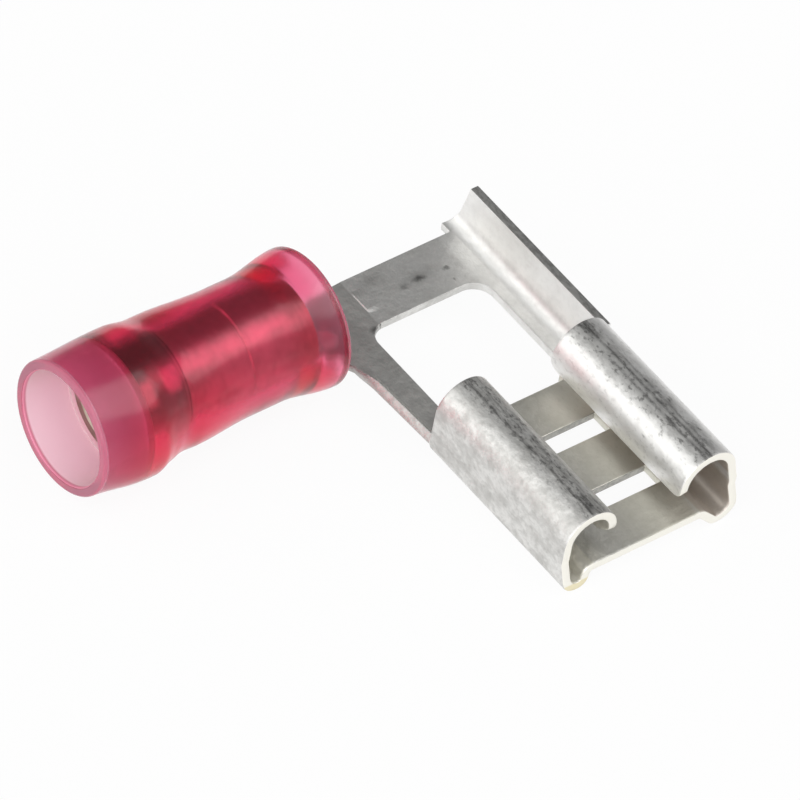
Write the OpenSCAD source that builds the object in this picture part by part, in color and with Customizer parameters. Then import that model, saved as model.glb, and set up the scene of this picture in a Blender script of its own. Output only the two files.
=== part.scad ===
// Insulated flag receptacle: the flat tab enters at a right angle to the wire.
// X runs along the wire barrel from the wire mouth, Y to the rear of the receptacle, Z up.

/* [Sheet] */
// Thickness of the plated brass sheet
sheet = 0.36; // [0.3:0.01:0.42]

/* [Receptacle] */
// Width across the two rolled sides
rec_w = 8; // [7.4:0.05:9]
// Length of the floor and its feet, in the direction the tab slides
rec_len = 7.9; // [6:0.1:9]
// How far the front ends of the rolls are set back from the floor's front edge
side_set = 0.3; // [0.1:0.05:0.6]
// Gap between the insulation sleeve's far rim and the near roll
flag_gap = 0.7; // [0.5:0.05:1.5]
// Distance from the barrel axis to the rear end of the receptacle
rec_back = 6.6; // [5.5:0.1:8]
// Depth of the floor's top face below the barrel axis
floor_drop = 0.45; // [0.2:0.05:0.8]
// Depth of the two feet below the floor
foot_drop = 0.68; // [0.55:0.01:0.75]
// Inside radius of the two bends of each step from the floor down to a foot
step_r = 0.08; // [0.05:0.01:0.1]
// Flat width of the underside of each foot
foot_flat = 0.05; // [0.02:0.01:0.2]
// Height above the barrel axis up to which each side wall stands upright
lean_z = 0.1; // [-0.1:0.05:0.3]
// Inside radius of the bend from which a side wall leans in
lean_r = 0.3; // [0.2:0.02:0.5]
// Radius of the rounded front corner of each rolled edge
lead_in = 0.6; // [0.3:0.1:1.2]
// Radius of the rounded rear corner of each rolled edge
tail_r = 0.5; // [0.2:0.1:0.9]
// Width of the two slots across the floor
slot_w = 0.88; // [0.5:0.02:1]
// Distance from the end of a slot to the edge of the raised floor
slot_edge = 0.3; // [0.2:0.05:0.7]
// Distance from the rear end of the receptacle to the middle of the first slot
slot_first = 2.56; // [1.5:0.02:3]
// Distance between the two slots
slot_pitch = 2.95; // [2:0.01:3.5]
// How far the floor's rear edge is cut back from the rear end of the rolls
floor_cut = 0.25; // [0:0.05:0.6]

/* [Near side] */
// Angle of the step from the floor down to the foot on the barrel's side
near_step = 80; // [60:1:85]
// Inside radius of the corner between the near foot and its side wall
near_foot_r = 0.35; // [0.2:0.05:0.5]
// Angle by which the near side wall leans in
near_lean = 0; // [0:1:10]
// Inside radius of the near roll
near_roll_r = 0.82; // [0.7:0.01:1]
// Height of the middle of the near roll above the barrel axis
near_mid = 0.7; // [0.5:0.05:0.9]
// Where the near roll ends, past half a turn so that its edge curls back
near_end = 206; // [182:1:215]

/* [Far side] */
// Angle of the step from the floor down to the far foot
far_step = 45; // [40:1:60]
// Inside radius of the corner between the far foot and its side wall
far_foot_r = 0.5; // [0.2:0.05:0.6]
// Angle by which the far side wall leans in
far_lean = 15; // [0:1:20]
// Inside radius of the far roll
far_roll_r = 0.9; // [0.8:0.01:1.1]
// Height of the middle of the far roll above the barrel axis
far_mid = 0.82; // [0.5:0.02:0.9]
// Where the far roll ends
far_end = 211; // [182:1:215]

/* [Flag] */
// Width of the arm between the barrel and the side wall
arm_w = 2.4; // [1.8:0.1:2.6]
// Depth of the arm's top face below the barrel axis
arm_drop = 0.67; // [0.55:0.01:0.75]
// Distance from the outer face of the near roll to the window
win_near = 1.32; // [1.2:0.01:1.5]
// Distance from the outer face of the far roll to the window
win_far = 1.47; // [1.3:0.01:1.7]
// Radius of the far inner corner of the window
win_r1 = 0.8; // [0.3:0.05:1.2]
// Radius of the near inner corner of the window
win_r0 = 0.7; // [0.3:0.05:0.9]
// Inside radius of the bend between the arm and the side wall
bend_r = 0.6; // [0.4:0.05:0.7]
// Height of the side wall above the barrel axis
wall_top = 1.25; // [0.8:0.05:1.5]
// How far the side wall is set in from the width of the rolls
wall_inset = 0.1; // [0:0.05:0.3]
// How far the bend stands out behind the arm
wall_tail = 0.5; // [0:0.05:0.7]
// How far the rear end of the side wall leans forward from the bend to the top
wall_rake = 0.5; // [0:0.05:0.8]
// Turn of the low lip along the near strip
lip_turn = 45; // [30:1:70]
// Inside radius of the lip's bend
lip_r = 0.25; // [0.15:0.01:0.4]
// Length of the lip past its bend
lip_flat = 0.1; // [0.05:0.01:0.3]
// Flat width of the near strip at the receptacle
strip_w = 0.8; // [0.4:0.01:0.95]
// Angle by which the near strip widens toward the barrel
strip_skew = 2.2; // [0:0.1:6]
// Distance from the barrel axis to the start of the lip
lip_start = 2.3; // [2:0.1:3]
// Length over which the lip rises
lip_rise = 1.4; // [0.5:0.1:2]
// Distance from the near edge of the window to the crease where the neck starts
crease_set = 0.58; // [0.4:0.02:0.9]
// How far the neck's top face starts below the inside of the barrel
neck_sink = 0.08; // [0.02:0.01:0.2]

/* [Wire barrel] */
// Inside radius of the barrel that takes the bare conductor
barrel_r = 0.95; // [0.85:0.01:1]
// Wire end of the barrel, from the wire mouth
barrel_x0 = 3.7; // [3.2:0.1:4.5]
// Length of the scoop that opens from the barrel under the neck
scoop_len = 1.25; // [1.1:0.05:1.6]
// Width of the butt seam along the top of the barrel
seam_w = 0.08; // [0.05:0.01:0.15]

/* [Support sleeve] */
// Thickness of the support sleeve
tube_wall = 0.42; // [0.3:0.01:0.5]
// Flared wire end of the sleeve, from the wire mouth
tube_x0 = 2.1; // [1.7:0.05:2.5]
// Inner end of the flare
tube_flare_x = 4.35; // [3.8:0.05:4.6]
// Distance from the sleeve's inner end to the far rim of the insulation sleeve
tube_set = 0.9; // [0.7:0.05:1.1]
// How much the flare widens the sleeve
tube_flare = 0.28; // [0.15:0.01:0.32]
// Place of the shallow ring groove
ring_x = 7.15; // [6:0.05:8]
// Depth of the ring groove
ring_depth = 0.06; // [0.02:0.01:0.1]

/* [Insulation sleeve] */
// Length of the insulation sleeve
sleeve_len = 11.05; // [9.5:0.05:12]
// Outside radius at the wire mouth
mouth_r = 2.63; // [2.6:0.01:2.7]
// Outside radius of the bell behind the mouth and of the far rim
bell_r = 2.72; // [2.7:0.01:2.8]
// Outside radius of the waist
waist_r = 2.42; // [2.36:0.01:2.5]
// Inside radius of the mouth that takes the wire's insulation
mouth_bore = 2.24; // [2.2:0.01:2.28]
// Inside radius at the far rim
rim_bore = 2.25; // [2.1:0.01:2.35]
// Place of the bell's ridge, from the wire mouth
bell_x = 2.7; // [1.8:0.1:2.9]
// Where the step down to the waist starts
step_x0 = 3.1; // [2.9:0.05:3.3]
// Where the step down to the waist ends
step_x1 = 4.35; // [4.2:0.05:4.9]
// Length over which the far rim flares
rim_len = 2.35; // [1.5:0.05:3]
// Radius of the rounded outer edge of each rim
rim_round = 0.12; // [0.05:0.01:0.2]
// Gap between the nested pieces
fit_gap = 0.06; // [0.04:0.01:0.1]

/* [Hidden] */
$fn = 96;
// Overlap of joined solids, and a fine one that keeps a cut off an edge
join = 0.1;
nick = 0.02;
half_t = sheet / 2;
barrel_out = barrel_r + sheet;
tube_in = barrel_out + fit_gap;
tube_out = tube_in + tube_wall;
waist_bore = tube_out + fit_gap;
flare_bore = waist_bore + tube_flare;
seat_x = tube_x0 - fit_gap;
tube_x1 = sleeve_len - tube_set;
rim_x = sleeve_len - rim_len;
barrel_x1 = sleeve_len - scoop_len;
// Middle of the sheet along the folded receptacle, from the floor to the rolled edge
floor_mid = -floor_drop - half_t;
near_floor = floor_half(near_step, near_foot_r);
far_floor = floor_half(far_step, far_foot_r);
slot_x = slot_edge - near_floor;
slot_len = near_floor + far_floor - 2 * slot_edge;
rec_front = rec_back + rec_len;
roll_front = rec_front - side_set;
foot_z = floor_mid - foot_drop - half_t;
// Places along the barrel, from the insulation sleeve outward
near_x = sleeve_len + flag_gap;
rec_x = near_x + rec_w / 2;
win_x0 = near_x + win_near;
win_x1 = near_x + rec_w - win_far;
crease_x = win_x0 + crease_set;
// Arm, strips and side wall
arm_half = arm_w / 2;
arm_mid = -arm_drop - half_t;
arm_back = arm_half + wall_tail;
bend_x = rec_x + rec_w / 2 - wall_inset - bend_r - sheet;
bend_z = arm_mid + half_t + bend_r;
wall_fold = [[join, 90, bend_r], [wall_top - bend_z, 0, 0]];
lip_x = win_x0 - strip_w;
lip_fold = [[join, lip_turn, lip_r], [lip_flat, 0, 0]];
lip_reach = (lip_r + sheet) * sin(lip_turn) + lip_flat * cos(lip_turn);
lip_start_x = lip_x - (rec_back - lip_start) * tan(strip_skew);
neck_x0 = tube_x1 + fit_gap;
neck_top = barrel_r + neck_sink;
neck_slope = atan2(neck_top - arm_drop, crease_x - neck_x0);
neck_half = sqrt(pow(waist_bore - fit_gap, 2) - pow(neck_top + sheet, 2));
// The part lies on the insulation sleeve and the front ends of the two feet
rest_tilt = asin(bell_r / norm([rec_front, foot_z])) - atan2(-foot_z, rec_front);

// Flat length and width of the step from the floor down to a foot
function step_flat(step) = (foot_drop - 2 * (step_r + half_t) * (1 - cos(step))) / sin(step);
function step_run(step) = 2 * (step_r + half_t) * sin(step) + step_flat(step) * cos(step);

// Middle of the corner between a foot and its wall, and edge of the raised floor beside it
function corner_x(foot_r) = rec_w / 2 - foot_r - sheet;
function corner_z(foot_r) = foot_z + foot_r + sheet;
function floor_half(step, foot_r) = corner_x(foot_r) - foot_flat - step_run(step);

// Flat height of the leaning part of a side wall, and middle of the roll on top of it
function wall_flat(lean, r, mid) = (mid - lean_z + (r - lean_r) * sin(lean)) / cos(lean);
function roll_x(lean, r, mid) = rec_w / 2 - half_t - (lean_r + half_t) * (1 - cos(lean))
  - wall_flat(lean, r, mid) * sin(lean) - (r + half_t) * cos(lean);

// Smooth step from 0 to 1
function ease(t) = t <= 0 ? 0 : t >= 1 ? 1 : t * t * (3 - 2 * t);

// Outside radius of the insulation sleeve along the barrel, and inside radius at its far rim
function shell_out(x) = mouth_r + (bell_r - mouth_r) * ease(x / bell_x)
  - (bell_r - waist_r) * ease((x - step_x0) / (step_x1 - step_x0))
  + (bell_r - waist_r) * ease((x - rim_x) / (sleeve_len - rim_round - rim_x));
function rim_in(x) = waist_bore + (rim_bore - waist_bore) * ease((x - tube_x1) / tube_set);

// Corner points of a wedge that opens by an angle from the X axis
function wedge(a, r) = concat([[0, 0]], [for (k = [0:6]) r * [cos(a * k / 6), sin(a * k / 6)]]);

// One bend of the sheet, which starts at the origin along X and turns up
module bend(a, r) {
  translate([0, r + half_t])
    rotate(-90)
      intersection() {
        difference() {
          circle(r + sheet);
          circle(r);
        }
        polygon(wedge(a, 2 * (r + sheet)));
      }
}

// A folded strip seen on edge: each step is a flat length, a turn and its inside radius
module fold(steps, i = 0) {
  if (i < len(steps)) {
    flat = steps[i][0];
    turn = steps[i][1];
    mid_r = steps[i][2] + half_t;
    side = turn < 0 ? -1 : 1;
    a = abs(turn);
    translate([0, -half_t])
      square([flat, sheet]);
    translate([flat, 0]) {
      if (a > 0)
        mirror([0, side < 0 ? 1 : 0])
          bend(a, steps[i][2]);
      translate([mid_r * sin(a), side * mid_r * (1 - cos(a))])
        rotate(turn)
          fold(steps, i + 1);
    }
  }
}

// Runs an outline drawn in X and Z from y0 to y1
module along_y(y0, y1) {
  translate([0, y1, 0])
    rotate([90, 0, 0])
      linear_extrude(y1 - y0)
        children();
}

// Square corner left over outside a quarter circle, at the origin
module corner(r) {
  difference() {
    translate([-join, -join])
      square([r + join, r + join]);
    translate([r, r])
      circle(r);
  }
}

// Runs an outline drawn in Y and Z from x0 to x1
module along_x(x0, x1) {
  translate([x0, 0, 0])
    rotate([90, 0, 90])
      linear_extrude(x1 - x0)
        children();
}

// Half of the receptacle: its wall and roll are set back at the front, its rolled edge is rounded
module side(step, foot_r, lean, r, mid, end) {
  roll_out = r + sheet;
  mid_x = roll_x(lean, r, mid);
  edge_z = mid + roll_out * sin(end) - nick;
  slope_z0 = corner_z(foot_r) - foot_r / 2;
  slope_z1 = floor_mid + half_t + side_set;
  difference() {
    along_y(-rec_front, -rec_back)
      translate([0, floor_mid])
        fold([
          [floor_half(step, foot_r), -step, step_r],
          [step_flat(step), step, step_r],
          [foot_flat, 90, foot_r],
          [lean_z - corner_z(foot_r), lean, lean_r],
          [wall_flat(lean, r, mid), end - lean, r]
        ]);
    along_x(corner_x(foot_r), rec_w)
      polygon([
        [-rec_front - join, slope_z0],
        [-rec_front, slope_z0],
        [-roll_front, slope_z1],
        [-rec_front - join, slope_z1]
      ]);
    along_x(0, rec_w)
      translate([-rec_front - join, slope_z1])
        square([side_set + join, rec_w]);
    along_x(0, mid_x) {
      translate([-roll_front, edge_z])
        corner(lead_in);
      translate([-rec_back, edge_z])
        mirror([1, 0])
          corner(tail_r);
    }
  }
}

// Drawn step at the rear of a foot, up to the strip that carries it
module riser(step, foot_r, top) {
  x = floor_half(step, foot_r);
  z = foot_z + half_t;
  translate([x, -rec_back - sheet, z])
    cube([rec_w / 2 - sheet - x, sheet, top - z]);
}

// Receptacle: floor, feet and the two rolled sides
module receptacle() {
  difference() {
    union() {
      side(far_step, far_foot_r, far_lean, far_roll_r, far_mid, far_end);
      riser(far_step, far_foot_r, arm_mid + half_t);
      mirror([1, 0, 0]) {
        side(near_step, near_foot_r, near_lean, near_roll_r, near_mid, near_end);
        riser(near_step, near_foot_r, arm_mid);
      }
    }
    for (k = [0, 1])
      translate([slot_x, -rec_back - slot_first - k * slot_pitch - slot_w / 2, floor_mid - sheet])
        cube([slot_len, slot_w, 2 * sheet]);
    translate([slot_x, -rec_back - floor_cut, floor_mid - sheet])
      cube([slot_len, 2 * floor_cut, 2 * sheet]);
  }
}

// Flat arm and far strip, with the far inner corner of the window
module arm() {
  translate([0, 0, arm_mid - half_t])
    linear_extrude(sheet) {
      translate([crease_x, -arm_half])
        square([bend_x - crease_x, arm_w]);
      translate([win_x1, -rec_back - join])
        square([bend_x - win_x1, rec_back + join]);
      translate([win_x1, -arm_half])
        rotate(180)
          corner(win_r1);
    }
  difference() {
    along_y(-rec_back - join, arm_back)
      translate([bend_x - join, arm_mid])
        fold(wall_fold);
    along_x(bend_x, rec_x + rec_w)
      polygon([
        [arm_back, bend_z - bend_r],
        [arm_back - wall_rake, wall_top],
        [arm_back - wall_rake, wall_top + join],
        [arm_back + join, wall_top + join],
        [arm_back + join, bend_z - bend_r]
      ]);
  }
}

// Outline of the neck and the near strip, seen from above
module neck_outline() {
  polygon([
    [crease_x + join, arm_half],
    [sleeve_len + fit_gap, arm_half],
    [neck_x0, neck_half],
    [neck_x0, -neck_half],
    [sleeve_len + fit_gap, -arm_half],
    [lip_start_x - lip_reach, -lip_start],
    [lip_start_x, -lip_start - lip_rise],
    [lip_x, -rec_back - join],
    [win_x0, -rec_back - join],
    [win_x0, -arm_half],
    [crease_x + join, -arm_half]
  ]);
  translate([win_x0, -arm_half])
    rotate(-90)
      corner(win_r0);
}

// Low lip along the near strip, which rises from the neck to the receptacle
module lip() {
  difference() {
    translate([lip_x, -rec_back, half_t])
      rotate([0, 0, strip_skew])
        along_y(-2 * join, rec_back - lip_start)
          translate([join, 0])
            mirror([1, 0])
              fold(lip_fold);
    along_x(0, win_x0)
      polygon([
        [-lip_start - lip_rise, 2 * sheet],
        [-lip_start, sheet],
        [0, sheet],
        [0, 2 * sheet]
      ]);
  }
}

// Sloped neck and near strip with its low lip
module neck() {
  translate([crease_x, 0, arm_mid + half_t])
    rotate([0, -neck_slope, 0])
      translate([-crease_x, 0, -sheet]) {
        linear_extrude(sheet)
          neck_outline();
        lip();
      }
}

// Rolled wire barrel with its butt seam, opening into a scoop under the neck
module barrel() {
  difference() {
    rotate([0, 90, 0])
      translate([0, 0, barrel_x0])
        cylinder(h = sleeve_len - barrel_x0, r = barrel_out);
    rotate([0, 90, 0])
      translate([0, 0, barrel_x0 - join])
        cylinder(h = sleeve_len - barrel_x0 + 2 * join, r = barrel_r);
    translate([barrel_x0 - join, -seam_w / 2, 0])
      cube([sleeve_len, seam_w, 2 * barrel_out]);
    along_y(-2 * barrel_out, 2 * barrel_out)
      polygon([
        [barrel_x1, 2 * barrel_out],
        [barrel_x1, barrel_out],
        [sleeve_len, -barrel_r],
        [sleeve_len + join, -barrel_r],
        [sleeve_len + join, 2 * barrel_out]
      ]);
  }
}

module terminal() {
  color([0.78, 0.78, 0.75])
    rotate([rest_tilt, 0, 0])
      union() {
        translate([rec_x, 0, 0])
          receptacle();
        arm();
        neck();
        barrel();
      }
}

module support_sleeve() {
  color([0.8, 0.76, 0.7])
    rotate([rest_tilt, 0, 0])
      rotate([0, 90, 0])
        rotate_extrude()
          polygon([
            [tube_in + tube_flare, tube_x0],
            [tube_out + tube_flare, tube_x0],
            [tube_out, tube_flare_x],
            [tube_out, ring_x - ring_depth],
            [tube_out - ring_depth, ring_x],
            [tube_out, ring_x + ring_depth],
            [tube_out, tube_x1],
            [tube_in, tube_x1],
            [tube_in, tube_flare_x]
          ]);
}

module insulation_sleeve() {
  n = 56;
  arc = [for (i = [0:8]) rim_round * [1 - cos(90 * i / 8), 1 - sin(90 * i / 8)]];
  span = sleeve_len - 2 * rim_round;
  color([0.76, 0.12, 0.27])
    rotate([rest_tilt, 0, 0])
      rotate([0, 90, 0])
        rotate_extrude()
          polygon(concat(
            [[mouth_bore, 0]],
            [for (i = [8:-1:0]) [mouth_r - arc[i][0], arc[i][1]]],
            [for (i = [1:n - 1]) let (x = rim_round + span * i / n) [shell_out(x), x]],
            [for (i = [0:8]) [bell_r - arc[i][0], sleeve_len - arc[i][1]]],
            [for (i = [8:-1:0]) let (x = tube_x1 + tube_set * i / 8) [rim_in(x), x]],
            [[waist_bore, tube_flare_x], [flare_bore, seat_x], [mouth_bore, seat_x]]
          ));
}

terminal();
support_sleeve();
insulation_sleeve();
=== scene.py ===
import math
from collections import namedtuple

import bmesh
import bpy
from mathutils import Matrix, Vector


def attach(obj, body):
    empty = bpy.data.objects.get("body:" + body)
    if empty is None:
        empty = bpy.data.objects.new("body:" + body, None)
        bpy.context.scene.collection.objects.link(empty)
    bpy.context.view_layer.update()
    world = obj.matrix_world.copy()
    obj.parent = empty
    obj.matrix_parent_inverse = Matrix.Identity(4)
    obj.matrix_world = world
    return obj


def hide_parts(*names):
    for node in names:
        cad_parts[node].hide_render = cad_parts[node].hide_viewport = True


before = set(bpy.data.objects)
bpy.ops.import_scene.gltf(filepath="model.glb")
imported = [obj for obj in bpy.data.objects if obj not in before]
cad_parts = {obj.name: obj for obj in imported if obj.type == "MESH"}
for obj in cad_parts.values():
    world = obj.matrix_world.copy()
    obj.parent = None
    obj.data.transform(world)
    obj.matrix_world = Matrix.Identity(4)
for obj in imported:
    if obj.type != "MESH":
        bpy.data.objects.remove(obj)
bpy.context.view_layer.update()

# Sizes in millimetres, in the part's own frame before it is laid down
MM = 0.001
SHEET = 0.36
HALF_T = SHEET / 2
REST_TILT = math.radians(4.887597)

# Receptacle
REC_W = 8.0
REC_X = 15.75
REC_BACK = 6.6
REC_LEN = 7.9
REC_FRONT = REC_BACK + REC_LEN
SIDE_SET = 0.3
ROLL_FRONT = REC_FRONT - SIDE_SET
FLOOR_MID = -0.63
FLOOR_TOP = FLOOR_MID + HALF_T
FOOT_DROP = 0.68
FOOT_Z = FLOOR_MID - FOOT_DROP - HALF_T
STEP_R = 0.08
FOOT_FLAT = 0.05
LEAN_Z = 0.1
LEAN_R = 0.3
LEAD_IN = 0.6
TAIL_R = 0.5
LEAD_RUN = 3.0
SLOT_W = 0.88
SLOT_EDGE = 0.3
SLOT_FIRST = 2.56
SLOT_PITCH = 2.95
FLOOR_CUT = 0.25
FRONT_ROWS = (0.12, 0.3, 0.6, 1.0, 1.5)
BACK_ROWS = (0.12, FLOOR_CUT, 0.5, 1.0)
MIDDLE_ROW = -10.4

# The two sides of the receptacle: which way, angle of the step, radius of the foot's corner,
# lean of the wall, radius, height and end of the roll
Side = namedtuple("Side", "sign step foot_r lean roll_r mid end")
NEAR = Side(-1, 80, 0.35, 0, 0.82, 0.7, 206)
FAR = Side(1, 45, 0.5, 15, 0.9, 0.82, 211)

# Arm, strips and side wall
ARM_HALF = 1.2
ARM_MID = -0.85
WIN_X0 = 13.07
WIN_X1 = 18.28
WIN_R0 = 0.7
WIN_R1 = 0.8
BEND_R = 0.6
BEND_X = 18.69
WALL_TOP = 1.25
ARM_BACK = 1.7
WALL_RAKE = 0.5
STRIP_END = -REC_BACK - 0.1
LIP_X = 12.27
LIP_SKEW = math.radians(2.2)
LIP_TURN = math.radians(45)
LIP_R = 0.25
LIP_FLAT = 0.1
LIP_START = -2.3
LIP_RISE = 1.4
LIP_ROWS = (0.0, 0.25, 0.5, 0.8, 1.1, LIP_RISE)
CREASE_X = 13.65
NECK_X0 = 10.21
NECK_HALF = 1.128
NECK_SLOPE = math.radians(5.974)
NECK_GAP = 0.06
RISER_SINK = 0.02

# Wire barrel and the two sleeves
BARREL_R = 0.95
BARREL_X0 = 3.7
BARREL_X1 = 9.8
SEAM_W = 0.1
TUBE_IN = 1.37
TUBE_OUT = 1.79
TUBE_X0 = 2.1
TUBE_FLARE_X = 4.35
TUBE_X1 = 10.15
TUBE_FLARE = 0.28
TUBE_LIP = 0.05
TUBE_LIP_EDGE = 0.06
TUBE_END_EDGE = 0.04
RING_X = 7.15
RING_DEPTH = 0.06
SLEEVE_LEN = 11.05
MOUTH_R = 2.63
BELL_R = 2.72
WAIST_R = 2.42
MOUTH_BORE = 2.24
MOUTH_EDGE = 0.06
RIM_BORE = 2.25
BELL_X = 2.7
STEP_X0 = 3.1
STEP_X1 = 4.35
RIM_X = 8.7
RIM_ROUND = 0.12
RIM_FLARE = 0.9
SEAT_X = 2.04
FLARE_BORE = 2.13
WAIST_BORE = 1.85

# Swelling of the sleeve: how far it goes, and where along the sleeve it grows and fades
SWELL_SKIN = 0.1
BELL_SWELL = 0.26
BELL_GROWS = (0.0, 2.0)
BELL_FADES = (2.5, 3.3)
WAIST_SWELL = 0.2
WAIST_GROWS = (3.6, 4.5)
WAIST_FADES = (4.6, 7.2)
BACK_SWELL = 0.23
BACK_GROWS = (STEP_X0, STEP_X1)
BACK_FADES = (4.8, 7.6)

# Rounds of the cut edges, steps of the bends, and distances at which points count as one
EDGE_ROUND = 0.05
BARREL_EDGE = 0.03
RISER_EDGE = 0.04
BEND_STEPS = 12
LIP_STEPS = 6
CORNER_STEPS = 10
BARREL_SIDES = 80
TURN_STEPS = 128
SHELL_STEPS = 70
ROUND_STEPS = 8
CLOSE = 0.01
MERGE = 0.0005
SEAM_MERGE = 0.002
SLIVER = 0.001
SHARP_EDGE = math.radians(50)
SMOOTH_EDGE = math.radians(35)

# Cut faces: how squarely they face, and how far they lie from the front, the wall's top and the rear
FACING = 0.75
FRONT_ZONE = 1.2
TOP_ZONE = 0.05
SLOT_ZONE = 1.0


def only(obj):
    """Selects one object and nothing else."""
    bpy.ops.object.select_all(action="DESELECT")
    obj.select_set(True)
    bpy.context.view_layer.objects.active = obj


def begin(obj):
    """Opens an object for editing."""
    only(obj)
    bpy.ops.object.mode_set(mode="EDIT")


def end():
    """Goes back from editing."""
    bpy.ops.object.mode_set(mode="OBJECT")


def pick_verts(obj, test):
    """Selects the vertices whose place passes a test, with the edges and faces between them."""
    bpy.ops.mesh.select_mode(type="VERT")
    bpy.ops.mesh.select_all(action="DESELECT")
    bm = bmesh.from_edit_mesh(obj.data)
    for v in bm.verts:
        v.select = test(v.co)
    bm.select_flush_mode()
    bmesh.update_edit_mesh(obj.data)


def pick_faces(obj, test):
    """Selects the faces whose middle passes a test."""
    bpy.ops.mesh.select_mode(type="FACE")
    bpy.ops.mesh.select_all(action="DESELECT")
    bm = bmesh.from_edit_mesh(obj.data)
    for f in bm.faces:
        f.select = test(f.calc_center_median())
    bm.select_flush_mode()
    bmesh.update_edit_mesh(obj.data)


def move_verts(obj, place):
    """Puts each vertex of an object that is open for editing at a new place."""
    bm = bmesh.from_edit_mesh(obj.data)
    for v in bm.verts:
        v.co = place(v.co)
    bmesh.update_edit_mesh(obj.data)


def cut(point, normal):
    """Cuts the selected faces along a plane."""
    bpy.ops.mesh.bisect(plane_co=point, plane_no=normal)


def cut_all(point, normal):
    """Cuts the whole mesh along a plane."""
    bpy.ops.mesh.select_all(action="SELECT")
    cut(point, normal)


def apply(obj, kind, **settings):
    """Adds a modifier, sets it and applies it."""
    only(obj)
    mod = obj.modifiers.new(kind.lower(), kind)
    for key, value in settings.items():
        setattr(mod, key, value)
    bpy.ops.object.modifier_apply(modifier=mod.name)


def thicken(obj, edge=EDGE_ROUND):
    """Gives a folded sheet its thickness and rounds its cut edges."""
    apply(obj, "SOLIDIFY", thickness=SHEET, offset=0, use_even_offset=True)
    apply(obj, "BEVEL", width=edge, segments=2, limit_method="ANGLE",
          angle_limit=SHARP_EDGE, use_clamp_overlap=False)


def newest(name):
    """Names the object that was just added, and its mesh."""
    obj = bpy.context.active_object
    obj.name = name
    obj.data.name = name
    return obj


def sin(angle):
    return math.sin(math.radians(angle))


def cos(angle):
    return math.cos(math.radians(angle))


# Receptacle, bent up from its floor
def step_flat(side):
    return (FOOT_DROP - 2 * (STEP_R + HALF_T) * (1 - cos(side.step))) / sin(side.step)


def corner_x(side):
    return REC_W / 2 - side.foot_r - SHEET


def corner_z(side):
    return FOOT_Z + side.foot_r + SHEET


def floor_half(side):
    """Distance from the middle of the floor to the step on one side."""
    run = 2 * (STEP_R + HALF_T) * sin(side.step) + step_flat(side) * cos(side.step)
    return corner_x(side) - FOOT_FLAT - run


def wall_flat(side):
    """Height of the leaning part of a side wall."""
    return (side.mid - LEAN_Z + (side.roll_r - LEAN_R) * sin(side.lean)) / cos(side.lean)


def roll_x(side):
    """Distance from the middle of the floor to the middle of a roll."""
    lean = (LEAN_R + HALF_T) * (1 - cos(side.lean)) + wall_flat(side) * sin(side.lean)
    return REC_W / 2 - HALF_T - lean - (side.roll_r + HALF_T) * cos(side.lean)


def bend_side(obj, side):
    """Bends one side of the receptacle: step, foot, wall and roll."""
    s = side.sign
    x, z, heading = floor_half(side), FLOOR_MID, 0.0
    pick_verts(obj, lambda c: (c.x - REC_X) * s > x - CLOSE)
    # Each bend: flat run before it, turn in degrees, radius and steps
    steps = [
        (0, -side.step, STEP_R + HALF_T, 4),
        (step_flat(side), side.step, STEP_R + HALF_T, 4),
        (FOOT_FLAT, 90, side.foot_r + HALF_T, 9),
        (LEAN_Z - corner_z(side), side.lean, LEAN_R + HALF_T, 4),
        (wall_flat(side), side.end - side.lean, side.roll_r + HALF_T, 30),
    ]
    for flat, angle, r, count in steps:
        up = 1 if angle > 0 else -1
        if flat:
            dx, dz = flat * cos(heading), flat * sin(heading)
            bpy.ops.mesh.extrude_edges_move(TRANSFORM_OT_translate={"value": (s * dx, 0, dz)})
            x, z = x + dx, z + dz
        if not angle:
            continue
        cx, cz = x - up * r * sin(heading), z + up * r * cos(heading)
        bpy.ops.mesh.spin(steps=count, angle=math.radians(abs(angle)),
                          center=(REC_X + s * cx, 0, cz), axis=(0, up * s, 0))
        heading += angle
        x, z = cx + up * r * sin(heading), cz - up * r * cos(heading)


def set_back(c, side):
    """How a point of a wall or roll moves back from the floor's front edge."""
    out = (c.x - REC_X) * side.sign
    low, high = corner_z(side) - side.foot_r / 2, FLOOR_TOP + SIDE_SET
    away = c.y + REC_FRONT
    if out < 0 or c.z < low or away > LEAD_RUN or (out < corner_x(side) and c.z < high - CLOSE):
        return c
    share = min(1.0, (c.z - low) / (high - low))
    return c + Vector((0, SIDE_SET * share * (1 - away / LEAD_RUN), 0))


def rolled_corner(c, side):
    """How a point of a roll moves so that its free edge has rounded corners."""
    r = side.roll_r + HALF_T
    out, up = (c.x - REC_X) * side.sign - roll_x(side), c.z - side.mid
    if out > 0 or up < r * sin(side.end) - 2 * CLOSE or math.hypot(out, up) < 0.9 * r:
        return c
    height = up - (side.roll_r + SHEET) * sin(side.end)
    y = c.y
    for radius, at, way in ((LEAD_IN, -ROLL_FRONT, 1), (TAIL_R, -REC_BACK, -1)):
        away = (c.y - at) * way
        if height < radius and away < LEAD_RUN:
            shift = radius - math.sqrt(radius ** 2 - (radius - height) ** 2)
            y += way * shift * (1 - away / LEAD_RUN)
    return Vector((c.x, y, c.z))


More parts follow.
